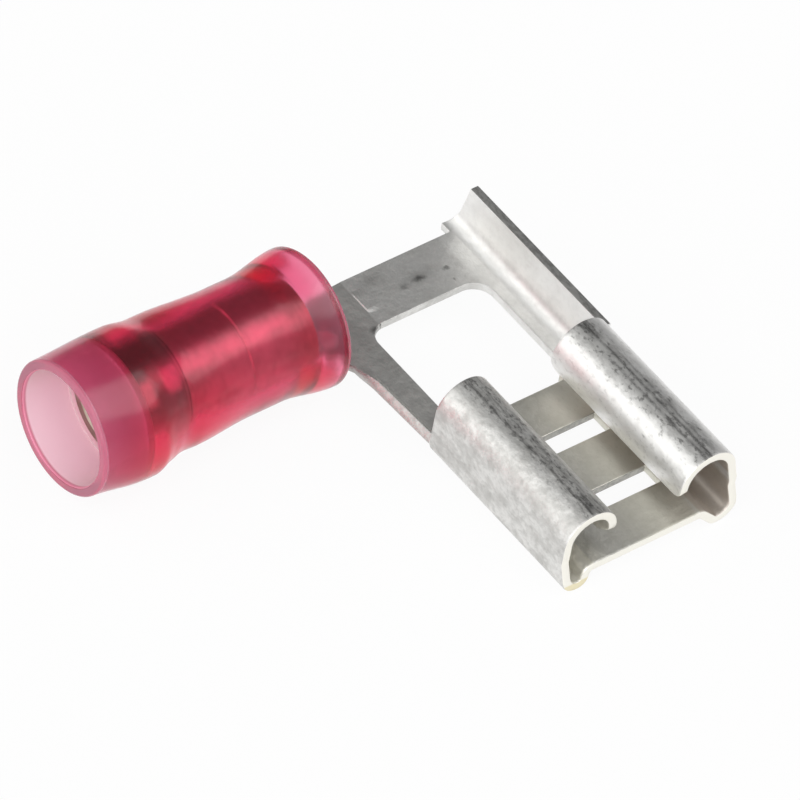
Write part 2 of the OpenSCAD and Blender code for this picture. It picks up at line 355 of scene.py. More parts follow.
def make_receptacle():
    x0, x1 = REC_X - floor_half(NEAR), REC_X + floor_half(FAR)
    bpy.ops.mesh.primitive_plane_add(size=1, location=(0, 0, 0))
    obj = newest("receptacle")
    begin(obj)
    bpy.ops.mesh.select_all(action="SELECT")
    bpy.ops.transform.resize(value=(x1 - x0, REC_LEN, 1))
    bpy.ops.transform.translate(value=((x0 + x1) / 2, -REC_BACK - REC_LEN / 2, FLOOR_MID))
    for side in (FAR, NEAR):
        bend_side(obj, side)
    slots = [-REC_BACK - SLOT_FIRST - k * SLOT_PITCH for k in (0, 1)]
    slot_edges = [y + side * SLOT_W / 2 for y in slots for side in (-1, 1)]
    front_rows = [-REC_FRONT + d for d in FRONT_ROWS]
    back_rows = [-REC_BACK - d for d in BACK_ROWS]
    for y in front_rows + back_rows + slot_edges + [MIDDLE_ROW]:
        cut_all((0, y, 0), (0, 1, 0))
    cut_all((0, 0, FLOOR_TOP + SIDE_SET), (0, 0, 1))
    gap_x0, gap_x1 = x0 + SLOT_EDGE, x1 - SLOT_EDGE
    for x in (gap_x0, gap_x1):
        pick_faces(obj, lambda c: x0 < c.x < x1 and abs(c.z - FLOOR_MID) < CLOSE)
        cut((x, 0, 0), (1, 0, 0))

    def in_gap(c):
        if abs(c.z - FLOOR_MID) > CLOSE or not gap_x0 < c.x < gap_x1:
            return False
        return c.y > -REC_BACK - FLOOR_CUT or any(abs(c.y - y) < SLOT_W / 2 for y in slots)

    pick_faces(obj, in_gap)
    bpy.ops.mesh.delete(type="FACE")
    for side in (FAR, NEAR):
        move_verts(obj, lambda c: set_back(c, side))
        move_verts(obj, lambda c: rolled_corner(c, side))
    bpy.ops.mesh.select_all(action="SELECT")
    bpy.ops.mesh.remove_doubles(threshold=MERGE)
    bpy.ops.mesh.normals_make_consistent(inside=False)
    end()
    thicken(obj)
    return obj


# Flag, cut flat and then folded
def arc(cx, cy, r, a0, a1, n):
    """Points of an arc from one angle to another, in degrees."""
    turn = [math.radians(a0 + (a1 - a0) * k / n) for k in range(n + 1)]
    return [(cx + r * math.cos(a), cy + r * math.sin(a)) for a in turn]


def lip_line(y):
    """Where the lip's bend starts on the near strip."""
    return LIP_X - (y + REC_BACK) * math.tan(LIP_SKEW)


def flag_outline():
    """Outline of the flat blank, with the wall and the lip laid out."""
    lip_len = (LIP_R + HALF_T) * LIP_TURN + LIP_FLAT
    wall_len = (BEND_R + HALF_T) * math.pi / 2 + WALL_TOP - (ARM_MID + HALF_T + BEND_R)
    rim = SLEEVE_LEN + NECK_GAP
    points = [(NECK_X0, -NECK_HALF), (rim, -ARM_HALF)]
    points += [(lip_line(LIP_START) - lip_len, LIP_START), (lip_line(STRIP_END) - lip_len, STRIP_END)]
    points += [(WIN_X0, STRIP_END)]
    points += arc(WIN_X0 + WIN_R0, -ARM_HALF - WIN_R0, WIN_R0, 180, 90, CORNER_STEPS)
    points += arc(WIN_X1 - WIN_R1, -ARM_HALF - WIN_R1, WIN_R1, 90, 0, CORNER_STEPS)
    points += [(WIN_X1, STRIP_END), (BEND_X + wall_len, STRIP_END)]
    points += [(BEND_X + wall_len, ARM_BACK - WALL_RAKE), (BEND_X, ARM_BACK)]
    points += [(BEND_X, ARM_HALF), (rim, ARM_HALF), (NECK_X0, NECK_HALF)]
    return points


def around(d, r, turn):
    """Run and rise of a strip at a distance d along it, where it turns round a bend."""
    if d <= 0:
        return d, 0.0
    if d < r * turn:
        return r * math.sin(d / r), r * (1 - math.cos(d / r))
    rest = d - r * turn
    return (r * math.sin(turn) + rest * math.cos(turn),
            r * (1 - math.cos(turn)) + rest * math.sin(turn))


def fold_flag(c):
    """Where a point of the flat blank goes when the wall, the lip and the neck are bent."""
    x, y, z = c.x, c.y, ARM_MID
    if x > BEND_X:
        run, lift = around(x - BEND_X, BEND_R + HALF_T, math.pi / 2)
        return Vector((BEND_X + run, y, z + lift))
    if x < WIN_X0 and y < LIP_START:
        grown = min(1.0, (LIP_START - y) / LIP_RISE)
        turn = LIP_TURN * grown * grown * (3 - 2 * grown)
        run, lift = around(lip_line(y) - x, LIP_R + HALF_T, max(turn, 1e-6))
        x, z = lip_line(y) - run, z + lift
    if x < CREASE_X:
        top = ARM_MID + HALF_T
        sn, cs = math.sin(NECK_SLOPE), math.cos(NECK_SLOPE)
        dx, dz = x - CREASE_X, z - top
        x, z = CREASE_X + dx * cs - dz * sn, top + dx * sn + dz * cs
    return Vector((x, y, z))


def make_flag():
    points = flag_outline()
    bpy.ops.mesh.primitive_circle_add(vertices=len(points), radius=1, fill_type="NGON")
    obj = newest("flag")
    begin(obj)
    bm = bmesh.from_edit_mesh(obj.data)
    bm.verts.ensure_lookup_table()
    loop = bm.faces[:][0].loops[0]
    for x, y in points:
        loop.vert.co = Vector((x, y, 0))
        loop = loop.link_loop_next
    bm.normal_update()
    bmesh.update_edit_mesh(obj.data)
    bend_len = (BEND_R + HALF_T) * math.pi / 2
    for k in range(BEND_STEPS + 1):
        cut_all((BEND_X + bend_len * k / BEND_STEPS, 0, 0), (1, 0, 0))
    cut_all((CREASE_X, 0, 0), (1, 0, 0))
    cut_all((WIN_X0, 0, 0), (1, 0, 0))
    for d in LIP_ROWS:
        pick_faces(obj, lambda c: c.x < WIN_X0)
        cut((0, LIP_START - d, 0), (0, 1, 0))
    lip_len = (LIP_R + HALF_T) * LIP_TURN
    for k in range(LIP_STEPS + 1):
        pick_faces(obj, lambda c: c.x < WIN_X0 and c.y < LIP_START)
        cut((LIP_X - lip_len * k / LIP_STEPS, -REC_BACK, 0),
            (math.cos(LIP_SKEW), math.sin(LIP_SKEW), 0))
    move_verts(obj, fold_flag)
    bpy.ops.mesh.select_all(action="SELECT")
    bpy.ops.mesh.remove_doubles(threshold=MERGE)
    bpy.ops.mesh.normals_make_consistent(inside=False)
    end()
    thicken(obj)
    return obj


def make_barrel():
    """Wire barrel, rolled round with a butt seam and opened into a scoop."""
    length = SLEEVE_LEN - BARREL_X0
    bpy.ops.mesh.primitive_cylinder_add(
        vertices=BARREL_SIDES, radius=BARREL_R + HALF_T, depth=length, end_fill_type="NOTHING",
        location=(0, 0, 0))
    obj = newest("barrel")
    begin(obj)
    move_verts(obj, lambda c: Vector((c.z + BARREL_X0 + length / 2, c.y, c.x)))
    pick_faces(obj, lambda c: c.z > BARREL_R + HALF_T - CLOSE and 0 < c.y < SEAM_W)
    bpy.ops.mesh.delete(type="FACE")
    run, fall = SLEEVE_LEN - BARREL_X1, BARREL_R + SHEET + BARREL_R
    bpy.ops.mesh.select_all(action="SELECT")
    bpy.ops.mesh.bisect(plane_co=(BARREL_X1, 0, BARREL_R + SHEET), plane_no=(fall, 0, run),
                        clear_outer=True)
    bpy.ops.mesh.select_all(action="SELECT")
    bpy.ops.mesh.normals_make_consistent(inside=False)
    end()
    thicken(obj, BARREL_EDGE)
    return obj


def make_riser(name, side, top):
    """Drawn step at the rear of a foot, up to the strip that carries it."""
    width = REC_W / 2 - SHEET - floor_half(side)
    low = FOOT_Z + HALF_T
    bpy.ops.mesh.primitive_cube_add(size=1, location=(0, 0, 0))
    obj = newest(name)
    begin(obj)
    bpy.ops.mesh.select_all(action="SELECT")
    bpy.ops.transform.resize(value=(width, SHEET, top - low))
    bpy.ops.transform.translate(value=(
        REC_X + side.sign * (floor_half(side) + width / 2), -REC_BACK - HALF_T, (top + low) / 2))
    bpy.ops.mesh.bevel(offset=RISER_EDGE, segments=2)
    end()
    return obj


def mark_faces(obj, name, test):
    """Stores 1 on the faces that pass a test and 0 on the others."""
    marks = obj.data.attributes.new(name, "FLOAT", "FACE")
    for face, mark in zip(obj.data.polygons, marks.data):
        mark.value = 1.0 if test(face) else 0.0


def lay_down(obj):
    """Tilts a finished piece as it lies and brings it to metres."""
    only(obj)
    obj.data.transform(Matrix.Scale(MM, 4) @ Matrix.Rotation(REST_TILT, 4, "X"))
    bpy.ops.object.shade_smooth_by_angle(angle=SMOOTH_EDGE)
    apply(obj, "WEIGHTED_NORMAL", mode="FACE_AREA", weight=50, keep_sharp=True)


def wall_top_face(face):
    return (face.normal.z > FACING and face.center.z > WALL_TOP - TOP_ZONE
            and face.center.x > BEND_X and face.center.y > -REC_BACK)


def slot_face(face):
    return (face.normal.y < -FACING and abs(face.center.z - FLOOR_MID) < HALF_T
            and -REC_FRONT + FRONT_ZONE < face.center.y < -REC_BACK - SLOT_ZONE)


def front_face(face):
    return face.normal.y < -FACING and face.center.y < -REC_FRONT + FRONT_ZONE


def make_terminal():
    body = make_receptacle()
    others = [make_flag(), make_barrel(),
              make_riser("riser_far", FAR, ARM_MID + HALF_T - RISER_SINK),
              make_riser("riser_near", NEAR, ARM_MID)]
    for other in others:
        apply(body, "BOOLEAN", operation="UNION", solver="EXACT", object=other)
        bpy.data.objects.remove(other)
    begin(body)
    bpy.ops.mesh.select_all(action="SELECT")
    bpy.ops.mesh.remove_doubles(threshold=SEAM_MERGE)
    bpy.ops.mesh.dissolve_degenerate(threshold=SLIVER)
    end()
    mark_faces(body, "front_cut", front_face)
    mark_faces(body, "dull_cut", lambda f: wall_top_face(f) or slot_face(f))
    body.name = "flag_terminal"
    body.data.name = "flag_terminal"
    lay_down(body)
    return body


# Turned pieces
def ease(value, start, stop):
    """Goes smoothly from 0 to 1 while a value goes from start to stop."""
    t = min(1.0, max(0.0, (value - start) / (stop - start)))
    return t * t * (3 - 2 * t)


def turned(name, outline, shape=None):
    """Spins a closed outline of (along, radius) points round the barrel axis, then shapes it."""
    bpy.ops.mesh.primitive_circle_add(vertices=len(outline), radius=1, fill_type="NOTHING")
    obj = newest(name)
    begin(obj)
    bm = bmesh.from_edit_mesh(obj.data)
    bm.verts.ensure_lookup_table()
    for v, (x, r) in zip(bm.verts, outline):
        v.co = Vector((x, 0, r))
    bmesh.update_edit_mesh(obj.data)
    bpy.ops.mesh.select_all(action="SELECT")
    bpy.ops.mesh.spin(steps=TURN_STEPS, angle=2 * math.pi, center=(0, 0, 0), axis=(1, 0, 0))
    bpy.ops.mesh.select_all(action="SELECT")
    bpy.ops.mesh.remove_doubles(threshold=MERGE)
    if shape:
        move_verts(obj, shape)
    bpy.ops.mesh.normals_make_consistent(inside=False)
    end()
    lay_down(obj)
    return obj


def shell_out(x):
    """Outside radius of the insulation sleeve."""
    return (MOUTH_R + (BELL_R - MOUTH_R) * ease(x, 0, BELL_X)
            - (BELL_R - WAIST_R) * ease(x, STEP_X0, STEP_X1)
            + (BELL_R - WAIST_R) * ease(x, RIM_X, SLEEVE_LEN - RIM_ROUND))


def swollen(c):
    """Where a point of the sleeve goes, as it swells to the front and, past the bell, to the back."""
    away = math.hypot(c.y, c.z)
    if away < MOUTH_BORE + SWELL_SKIN:
        return c
    front = BELL_SWELL * (ease(c.x, *BELL_GROWS) - ease(c.x, *BELL_FADES))
    front += WAIST_SWELL * (ease(c.x, *WAIST_GROWS) - ease(c.x, *WAIST_FADES))
    back = BACK_SWELL * (ease(c.x, *BACK_GROWS) - ease(c.x, *BACK_FADES))
    front_share, back_share = ((1 - c.y / away) / 2) ** 2, ((1 + c.y / away) / 2) ** 2
    return c + Vector((0, back * back_share - front * front_share, 0))


def make_insulation():
    rounds = range(ROUND_STEPS + 1)
    quarter = [math.radians(90 * k / ROUND_STEPS) for k in rounds]
    mouth = [(RIM_ROUND * (1 - math.sin(a)), MOUTH_R - RIM_ROUND * (1 - math.cos(a)))
             for a in reversed(quarter)]
    rim = [(SLEEVE_LEN - RIM_ROUND * (1 - math.sin(a)), BELL_R - RIM_ROUND * (1 - math.cos(a)))
           for a in quarter]
    span = SLEEVE_LEN - 2 * RIM_ROUND
    along = [RIM_ROUND + span * k / SHELL_STEPS for k in range(1, SHELL_STEPS)]
    outer = [(x, shell_out(x)) for x in along]
    flare = [(SLEEVE_LEN - RIM_FLARE * k / ROUND_STEPS,
              RIM_BORE + (WAIST_BORE - RIM_BORE) * ease(k, 0, ROUND_STEPS)) for k in rounds]
    inner = flare + [(TUBE_FLARE_X, WAIST_BORE), (SEAT_X, FLARE_BORE), (SEAT_X, MOUTH_BORE),
                     (MOUTH_EDGE, MOUTH_BORE), (0.0, MOUTH_BORE + MOUTH_EDGE)]
    return turned("nylon_sleeve", mouth + outer + rim + inner, shape=swollen)


def make_support():
    flare_in, flare_out = TUBE_IN + TUBE_FLARE, TUBE_OUT + TUBE_FLARE
    lip_x, end_x = TUBE_X0 + TUBE_LIP, TUBE_X1 - TUBE_END_EDGE
    return turned("metal_sleeve", [
        (lip_x, flare_in), (TUBE_X0, flare_in + TUBE_LIP_EDGE),
        (TUBE_X0, flare_out - TUBE_LIP_EDGE), (lip_x, flare_out),
        (TUBE_FLARE_X, TUBE_OUT), (RING_X - RING_DEPTH, TUBE_OUT), (RING_X, TUBE_OUT - RING_DEPTH),
        (RING_X + RING_DEPTH, TUBE_OUT), (end_x, TUBE_OUT), (TUBE_X1, TUBE_OUT - TUBE_END_EDGE),
        (TUBE_X1, TUBE_IN + TUBE_END_EDGE), (end_x, TUBE_IN), (TUBE_FLARE_X, TUBE_IN),
    ])


terminal = make_terminal()
support = make_support()
insulation = make_insulation()

for piece, node, slot in (
    (terminal, "terminal", "tin_plate"),
    (support, "support_sleeve", "tinned_copper"),
    (insulation, "insulation_sleeve", "red_nylon"),
):
    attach(piece, "root")
    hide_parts(node)


# Materials
def new_material(name):
    mat = bpy.data.materials.new(name)
    mat.use_nodes = True
    tree = mat.node_tree
    return mat, tree, tree.nodes["Principled BSDF"]


def add(tree, kind, sockets, **settings):
    """Adds a shader node with its settings, and links or sets its sockets."""
    node = tree.nodes.new("ShaderNode" + kind)
    for key, value in settings.items():
        setattr(node, key, value)
    for key, value in sockets.items():
        if isinstance(value, bpy.types.NodeSocket):
            tree.links.new(value, node.inputs[key])
        else:
            node.inputs[key].default_value = value
    return node


def calc(tree, operation, *values):
    return add(tree, "Math", dict(enumerate(values)), operation=operation).outputs[0]


def rise(tree, value, low, high, start=0.0, stop=1.0):
    """Goes smoothly from start to stop while a value goes from low to high."""
    return add(tree, "MapRange", {"Value": value, "From Min": low, "From Max": high,
                                  "To Min": start, "To Max": stop},
               interpolation_type="SMOOTHSTEP").outputs[0]


def band(tree, value, low, high, soft):
    """Is 1 between low and high and falls off over a soft edge."""
    return calc(tree, "MULTIPLY", rise(tree, value, low - soft, low + soft),
                rise(tree, value, high - soft, high + soft, 1, 0))


def both(tree, *masks):
    """Is as strong as all the masks multiplied."""
    out = masks[0]
    for mask in masks[1:]:
        out = calc(tree, "MULTIPLY", out, mask)
    return out


def noise(tree, place, scale, detail=2.0, stretch=None, roughness=0.5):
    if stretch:
        place = add(tree, "VectorMath", {0: place, 1: stretch}, operation="MULTIPLY").outputs[0]
    return add(tree, "TexNoise", {"Vector": place, "Scale": scale, "Detail": detail,
                                  "Roughness": roughness}).outputs["Fac"]


def blend(tree, amount, under, over):
    node = add(tree, "Mix", {0: amount}, data_type="RGBA")
    for index, colour in ((6, under), (7, over)):
        if isinstance(colour, bpy.types.NodeSocket):
            tree.links.new(colour, node.inputs[index])
        else:
            node.inputs[index].default_value = (*colour, 1)
    return node.outputs[2]


def paint(tree, colour, over, weight, *masks):
    """Lays one colour over another where all the masks meet."""
    return blend(tree, both(tree, *masks, weight), colour, over)


def part_place(tree):
    """Place on a piece in millimetres, in the part's own frame before it is laid down."""
    coord = tree.nodes.new("ShaderNodeTexCoord")
    return add(tree, "Mapping", {"Vector": coord.outputs["Object"], "Rotation": (-REST_TILT, 0, 0),
                                 "Scale": (1 / MM,) * 3}).outputs[0]


def bump(tree, bsdf, height, strength, distance):
    node = add(tree, "Bump", {"Height": height, "Strength": strength, "Distance": distance * MM})
    tree.links.new(node.outputs[0], bsdf.inputs["Normal"])


def length_of(tree, a, b):
    return calc(tree, "SQRT", calc(tree, "ADD", calc(tree, "MULTIPLY", a, a), calc(tree, "MULTIPLY", b, b)))


def roll_place(tree, x, z, side):
    """Angle round a roll in degrees, from +X over the top, and distance from its middle."""
    dx = calc(tree, "SUBTRACT", x, REC_X + side.sign * roll_x(side))
    dz = calc(tree, "SUBTRACT", z, side.mid)
    angle = calc(tree, "DEGREES", calc(tree, "ARCTAN2", dz, dx))
    return angle, length_of(tree, dx, dz)


# Colours of the plating, the tube and the nylon
TIN_BRIGHT = (0.8, 0.795, 0.775)
TIN_CLOUD = (0.64, 0.635, 0.615)
# Painted light: lighter plating on the far roll, the far wall and the near lip
TIN_LIT = (0.95, 0.945, 0.93)
# Painted highlight along the far strip and bend
TIN_HIGHLIGHT = (1.0, 1.0, 0.98)
# Darker tone for the mottling, and painted shade on the neck
TIN_MOTTLE_AND_SHADE = (0.5, 0.495, 0.475)
# Wear with painted dark reflection on the rolls' tops; also the dull cut faces
TIN_RUB_AND_SHADE = (0.3, 0.297, 0.285)
TIN_SCORE = (0.12, 0.118, 0.115)
TIN_OLIVE = (0.64, 0.62, 0.52)
TIN_INSIDE = (0.96, 0.94, 0.86)
TIN_BROWN = (0.62, 0.55, 0.48)
# Bare cut metal at the front, lightened with painted light
CUT_PALE_LIT = (0.95, 0.93, 0.86)
BRASS = (0.84, 0.76, 0.5)
# Painted shade in the bores of the barrel and the tube and on the tube's end
PAINTED_SHADE = (0.24, 0.18, 0.13)
TUBE_PALE = (0.8, 0.76, 0.71)
TUBE_CLOUD = (0.68, 0.63, 0.58)
TUBE_DRAWN = (0.58, 0.53, 0.48)
# Painted shade on the tube's flare and the ring at its end
TUBE_SHADE = (0.2, 0.13, 0.12)
# Painted highlight for the glints
TUBE_GLINT = (0.98, 0.96, 0.94)
NYLON_PALE = (0.98, 0.74, 0.77)
NYLON_CLOUD = (0.97, 0.68, 0.72)
NYLON_BELL = (0.98, 0.68, 0.87)
NYLON_MOUTH = (0.99, 0.85, 0.87)
NYLON_RIM = (0.66, 0.16, 0.27)
NYLON_TINT = (0.955, 0.03, 0.4, 1)
NYLON_DEPTH = 1850
NYLON_IOR = 1.53

# Stains on the arm, and painted shade in the notch at the window's near corner (13.3, -1.3): place, length,
# width and depth of colour
ARM_SPOTS = ((16.26, -0.11, 0.5, 0.2, 0.85), (17.43, -0.18, 0.22, 0.14, 0.7),
             (15.54, -0.18, 0.34, 0.2, 0.4), (17.36, -0.78, 0.14, 0.1, 0.6), (16.3, 0.0, 1.3, 0.45, 0.25),
             (13.3, -1.3, 0.3, 0.25, 0.8), (14.6, 0.7, 0.9, 0.4, 0.25), (12.6, -1.2, 0.7, 1.4, 0.2))

# How far noise moves a stain's edge in x and y, and what that shifts it on average
SPOT_DRIFT = (0.5, 0.35)
SPOT_SHIFT = (0.25, 0.17)

# Worn band of each roll, with painted dark reflection: from angle to angle, least wear, and the colour inside
# that roll
RUB_AND_SHADE_BANDS = ((NEAR, 60, 104, 0.0, TIN_INSIDE), (FAR, 80, 122, 0.55, TIN_BROWN))

# How far, in degrees, noise moves the edge of a worn and painted-shade band and a score line
RUB_RAGGED = 50.0
SCORE_WANDER = 8.0

# Score lines along the rolls: angle round the roll, half width, how dark, from y to y
SCORES = {
    NEAR: ((93, 2.5, 0.7, -14.5, -6.6), (86, 7.0, 0.85, -13.9, -13.1), (94, 5.0, 0.6, -10.55, -10.3)),
    FAR: ((93, 2.5, 0.7, -14.5, -6.6), (104, 2.5, 0.65, -14.5, -8.6), (83, 2.0, 0.5, -13.8, -8.5),
          (94, 9.0, 0.85, -7.4, -6.6), (98, 7.0, 0.5, -14.5, -13.3), (105, 5.0, 0.7, -12.3, -11.9),
          (154, 1.5, 0.6, -11.82, -11.62)),
}
SCORE_FADE = 0.3

# Painted glints (highlights) on the tube's flare: from x to x, soft edge, from angle to angle toward the
# front
GLINTS = ((2.35, 2.8, 0.15, 30, 52), (3.4, 4.0, 0.2, 24, 46))

# What the finishes of the tin plate read: place, noises, and where the rolls are and are not
Tin = namedtuple("Tin", "tree place x y z cloud grain patch speck streak fleck on_rolls behind")


def tin_masks(tree):
    """Places and noises that the looks of the tin plate are made from."""
    place = part_place(tree)
    x, y, z = add(tree, "SeparateXYZ", {0: place}).outputs
    on_rolls = rise(tree, y, -REC_BACK - 0.05, -REC_BACK, 1, 0)
    return Tin(
        tree, place, x, y, z,
        cloud=noise(tree, place, 1.1, 5, roughness=0.62),
        grain=noise(tree, place, 4.5, 4),
        patch=noise(tree, place, 2.6, 4, stretch=(1, 0.5, 1), roughness=0.65),
        speck=noise(tree, place, 7, 4, stretch=(1, 0.45, 1), roughness=0.7),
        streak=noise(tree, place, 8, 4, stretch=(1, 0.14, 1), roughness=0.6),
        fleck=noise(tree, place, 6.5, 3, stretch=(1, 0.6, 1), roughness=0.6),
        on_rolls=on_rolls,
        behind=rise(tree, on_rolls, 0, 1, 1, 0))


def plating(t):
    """Cloudy plating, painted light on the far roll and wall, a painted highlight on the far strip and bend.
    """
    tree = t.tree
    colour = blend(tree, rise(tree, t.cloud, 0.4, 0.66), TIN_BRIGHT, TIN_CLOUD)
    colour = paint(tree, colour, TIN_MOTTLE_AND_SHADE, 0.35, rise(tree, t.grain, 0.45, 0.75))
    far = rise(tree, t.x, REC_X, REC_X + 1.0)
    wall = rise(tree, t.z, ARM_MID + 0.4, ARM_MID + 0.9, 0, 0.7)
    # Painted light on the far roll and the wall
    lit_share = calc(tree, "MAXIMUM", both(tree, t.on_rolls, far), wall)
    colour = paint(tree, colour, TIN_LIT, 0.92, lit_share, far)
    # Painted highlight on the strip by the window and along the far bend
    strip = rise(tree, t.x, WIN_X1 - 0.4, WIN_X1, 0, 0.45)
    fold = band(tree, t.x, BEND_X + 0.08, BEND_X + 0.36, 0.2)
    low = rise(tree, t.z, ARM_MID + 0.4, ARM_MID + 0.6, 1, 0)
    return paint(tree, colour, TIN_HIGHLIGHT, 1.0, t.behind, low, calc(tree, "MAXIMUM", strip, fold))


def mottled_rolls(t, colour):
    """Dull patches and flecks on the rolls, most on the near one."""
    tree = t.tree
    share = rise(tree, t.x, REC_X - 1, REC_X + 1, 0.42, 0.12)
    colour = paint(tree, colour, TIN_MOTTLE_AND_SHADE, 1.0, t.on_rolls, rise(tree, t.patch, 0.44, 0.6), share)
    return paint(tree, colour, TIN_MOTTLE_AND_SHADE, 0.3, t.on_rolls, rise(tree, t.fleck, 0.54, 0.66))


def worn_rolls(t, colour):
    """Scored tops of the rolls, worn and with painted dark reflection in a band, the colour inside them, and
    where that band is.
    """
    tree = t.tree
    jitter = calc(tree, "SUBTRACT", t.patch, 0.5)
    rub_and_shade = 0.0
    for side, band_start, band_end, least, within in RUB_AND_SHADE_BANDS:
        angle, away = roll_place(tree, t.x, t.z, side)
        outside = both(tree, t.on_rolls, band(tree, away, side.roll_r + 0.2, side.roll_r + 0.6, 0.05))
        ragged = calc(tree, "MULTIPLY_ADD", jitter, RUB_RAGGED, angle)
        wander = calc(tree, "MULTIPLY_ADD", jitter, SCORE_WANDER, angle)
        # Band over each roll's top: worn, and painted dark reflection
        broad = both(tree, outside, band(tree, ragged, band_start, band_end, 10))
        worn = calc(tree, "MAXIMUM", rise(tree, t.speck, 0.42, 0.7, least, 0.7),
                    rise(tree, t.streak, 0.42, 0.66, 0, 0.7))
        colour = paint(tree, colour, TIN_RUB_AND_SHADE, 1.0, broad, worn)
        colour = paint(tree, colour, TIN_SCORE, 0.6, broad, rise(tree, t.fleck, 0.52, 0.66))
        broken = rise(tree, t.speck, 0.34, 0.6, 0.35, 1)
        for at, half, dark, y0, y1 in SCORES[side]:
            fade = min(SCORE_FADE, (y1 - y0) / 2)
            colour = paint(tree, colour, TIN_SCORE, dark, outside, broken, band(tree, t.y, y0, y1, fade),
                           band(tree, wander, at - half, at + half, 2))
        inside = both(tree, rise(tree, away, side.roll_r + 0.05, side.roll_r + 0.12, 1, 0),
                      rise(tree, t.z, FLOOR_TOP + 0.05, FLOOR_TOP + 0.45))
        out = calc(tree, "MULTIPLY", calc(tree, "SUBTRACT", t.x, REC_X), side.sign)
        wall = both(tree, band(tree, out, floor_half(side), REC_W / 2 - SHEET + 0.06, 0.05),
                    rise(tree, t.z, FLOOR_TOP + 0.45, FLOOR_TOP + 0.75, 1, 0))
        colour = paint(tree, colour, within, 0.7, t.on_rolls, calc(tree, "MAXIMUM", inside, wall))
        rub_and_shade = calc(tree, "MAXIMUM", rub_and_shade, broad)
    return colour, rub_and_shade


def olive_floor(t, colour):
    """Floor of the receptacle, a little olive toward the far roll."""
    tree = t.tree
    floor = both(tree, t.on_rolls, rise(tree, t.z, FLOOR_TOP + 0.01, FLOOR_TOP + 0.05, 1, 0),
                 band(tree, t.x, REC_X - floor_half(NEAR), REC_X + floor_half(FAR), 0.3))
    return paint(tree, colour, TIN_OLIVE, 1.0, floor, rise(tree, t.x, REC_X - 2.25, REC_X + 1.25, 0.3, 0.7))


def lit_lip(t, colour):
    """Lip of the near strip, with painted light on its outer face."""
    tree = t.tree
    return paint(tree, colour, TIN_LIT, 0.6, t.behind, rise(tree, t.x, LIP_X - 0.05, LIP_X - 0.2),
                 rise(tree, t.y, LIP_START, LIP_START - 0.6), rise(tree, t.z, ARM_MID - 0.6, ARM_MID - 0.3))


def shaded_neck(t, colour):
    """Painted shade on the neck and near strip beside the sleeve, and in the barrel's bore."""
    tree = t.tree
    # Painted shade on the neck and near strip
    colour = paint(tree, colour, TIN_MOTTLE_AND_SHADE, 0.75, rise(tree, t.x, CREASE_X - 0.1, CREASE_X, 1, 0),
                   rise(tree, t.y, -REC_BACK, -REC_BACK + 0.1))
    # Painted shade in the barrel's bore
    away = length_of(tree, t.y, t.z)
    return paint(tree, colour, PAINTED_SHADE, 0.8, rise(tree, t.x, SLEEVE_LEN - 0.25, SLEEVE_LEN - 0.05, 1, 0),
                 rise(tree, away, BARREL_R + 0.05, BARREL_R + 0.13, 1, 0))


def arm_stains_and_shade(t, colour):
    """Stains on the top of the arm, with edges that drift, and painted shade in the notch at the window's
    near corner.
    """
    tree = t.tree
    top = both(tree, rise(tree, t.z, ARM_MID, ARM_MID + HALF_T / 2),
               rise(tree, t.z, ARM_MID + 0.25, ARM_MID + 0.3, 1, 0))
    drift = add(tree, "TexNoise", {"Vector": t.place, "Scale": 3.5, "Detail": 4.0}).outputs["Color"]
    drift_x, drift_y, _ = add(tree, "SeparateXYZ", {0: drift}).outputs
    moved_x = calc(tree, "MULTIPLY_ADD", drift_x, SPOT_DRIFT[0], t.x)
    moved_y = calc(tree, "MULTIPLY_ADD", drift_y, SPOT_DRIFT[1], t.y)
    for spot_x, spot_y, long, wide, dark in ARM_SPOTS:
        off_x = calc(tree, "SUBTRACT", moved_x, spot_x + SPOT_SHIFT[0])
        off_y = calc(tree, "SUBTRACT", moved_y, spot_y + SPOT_SHIFT[1])
        away = length_of(tree, calc(tree, "DIVIDE", off_x, long), calc(tree, "DIVIDE", off_y, wide))
        colour = paint(tree, colour, TIN_SCORE, dark, top, rise(tree, away, 0.0, 1.0, 1, 0))
    return colour


def bare_cuts(t, colour):
    """Cut faces: at the front pale with painted light and bare brass, dull on the wall's top and in the
    slots.
    """
    tree = t.tree
    pale = add(tree, "Attribute", {}, attribute_name="front_cut").outputs["Fac"]
    dull = add(tree, "Attribute", {}, attribute_name="dull_cut").outputs["Fac"]
    # Front cut faces: pale bare metal with painted light
    colour = blend(tree, pale, colour, CUT_PALE_LIT)
    colour = paint(tree, colour, BRASS, 0.8, pale, rise(tree, t.z, FOOT_Z + 0.49, FOOT_Z + 0.37),
                   rise(tree, t.x, REC_X, REC_X - 1))
    return paint(tree, colour, TIN_RUB_AND_SHADE, 1.0, dull, rise(tree, t.speck, 0.36, 0.6, 0.9, 0.6))


def tin_relief(t):
    """Height of the plating's bumps and of the crease across the neck."""
    tree = t.tree
    crease = both(tree, rise(tree, t.x, CREASE_X - 0.05, CREASE_X + 0.03),
                  rise(tree, t.x, CREASE_X + 0.03, CREASE_X + 0.9, 1, 0), band(tree, t.y, -0.5, 0.45, 0.15))
    pebble = noise(tree, t.place, 4, 3, stretch=(1, 0.7, 1))
    height = calc(tree, "MULTIPLY", t.cloud, 0.035)
    height = calc(tree, "MULTIPLY_ADD", t.grain, 0.003, height)
    height = calc(tree, "MULTIPLY_ADD", pebble, rise(tree, t.x, REC_X - 1, REC_X + 1, 0.03, 0.01), height)
    return calc(tree, "MULTIPLY_ADD", crease, 0.05, height)


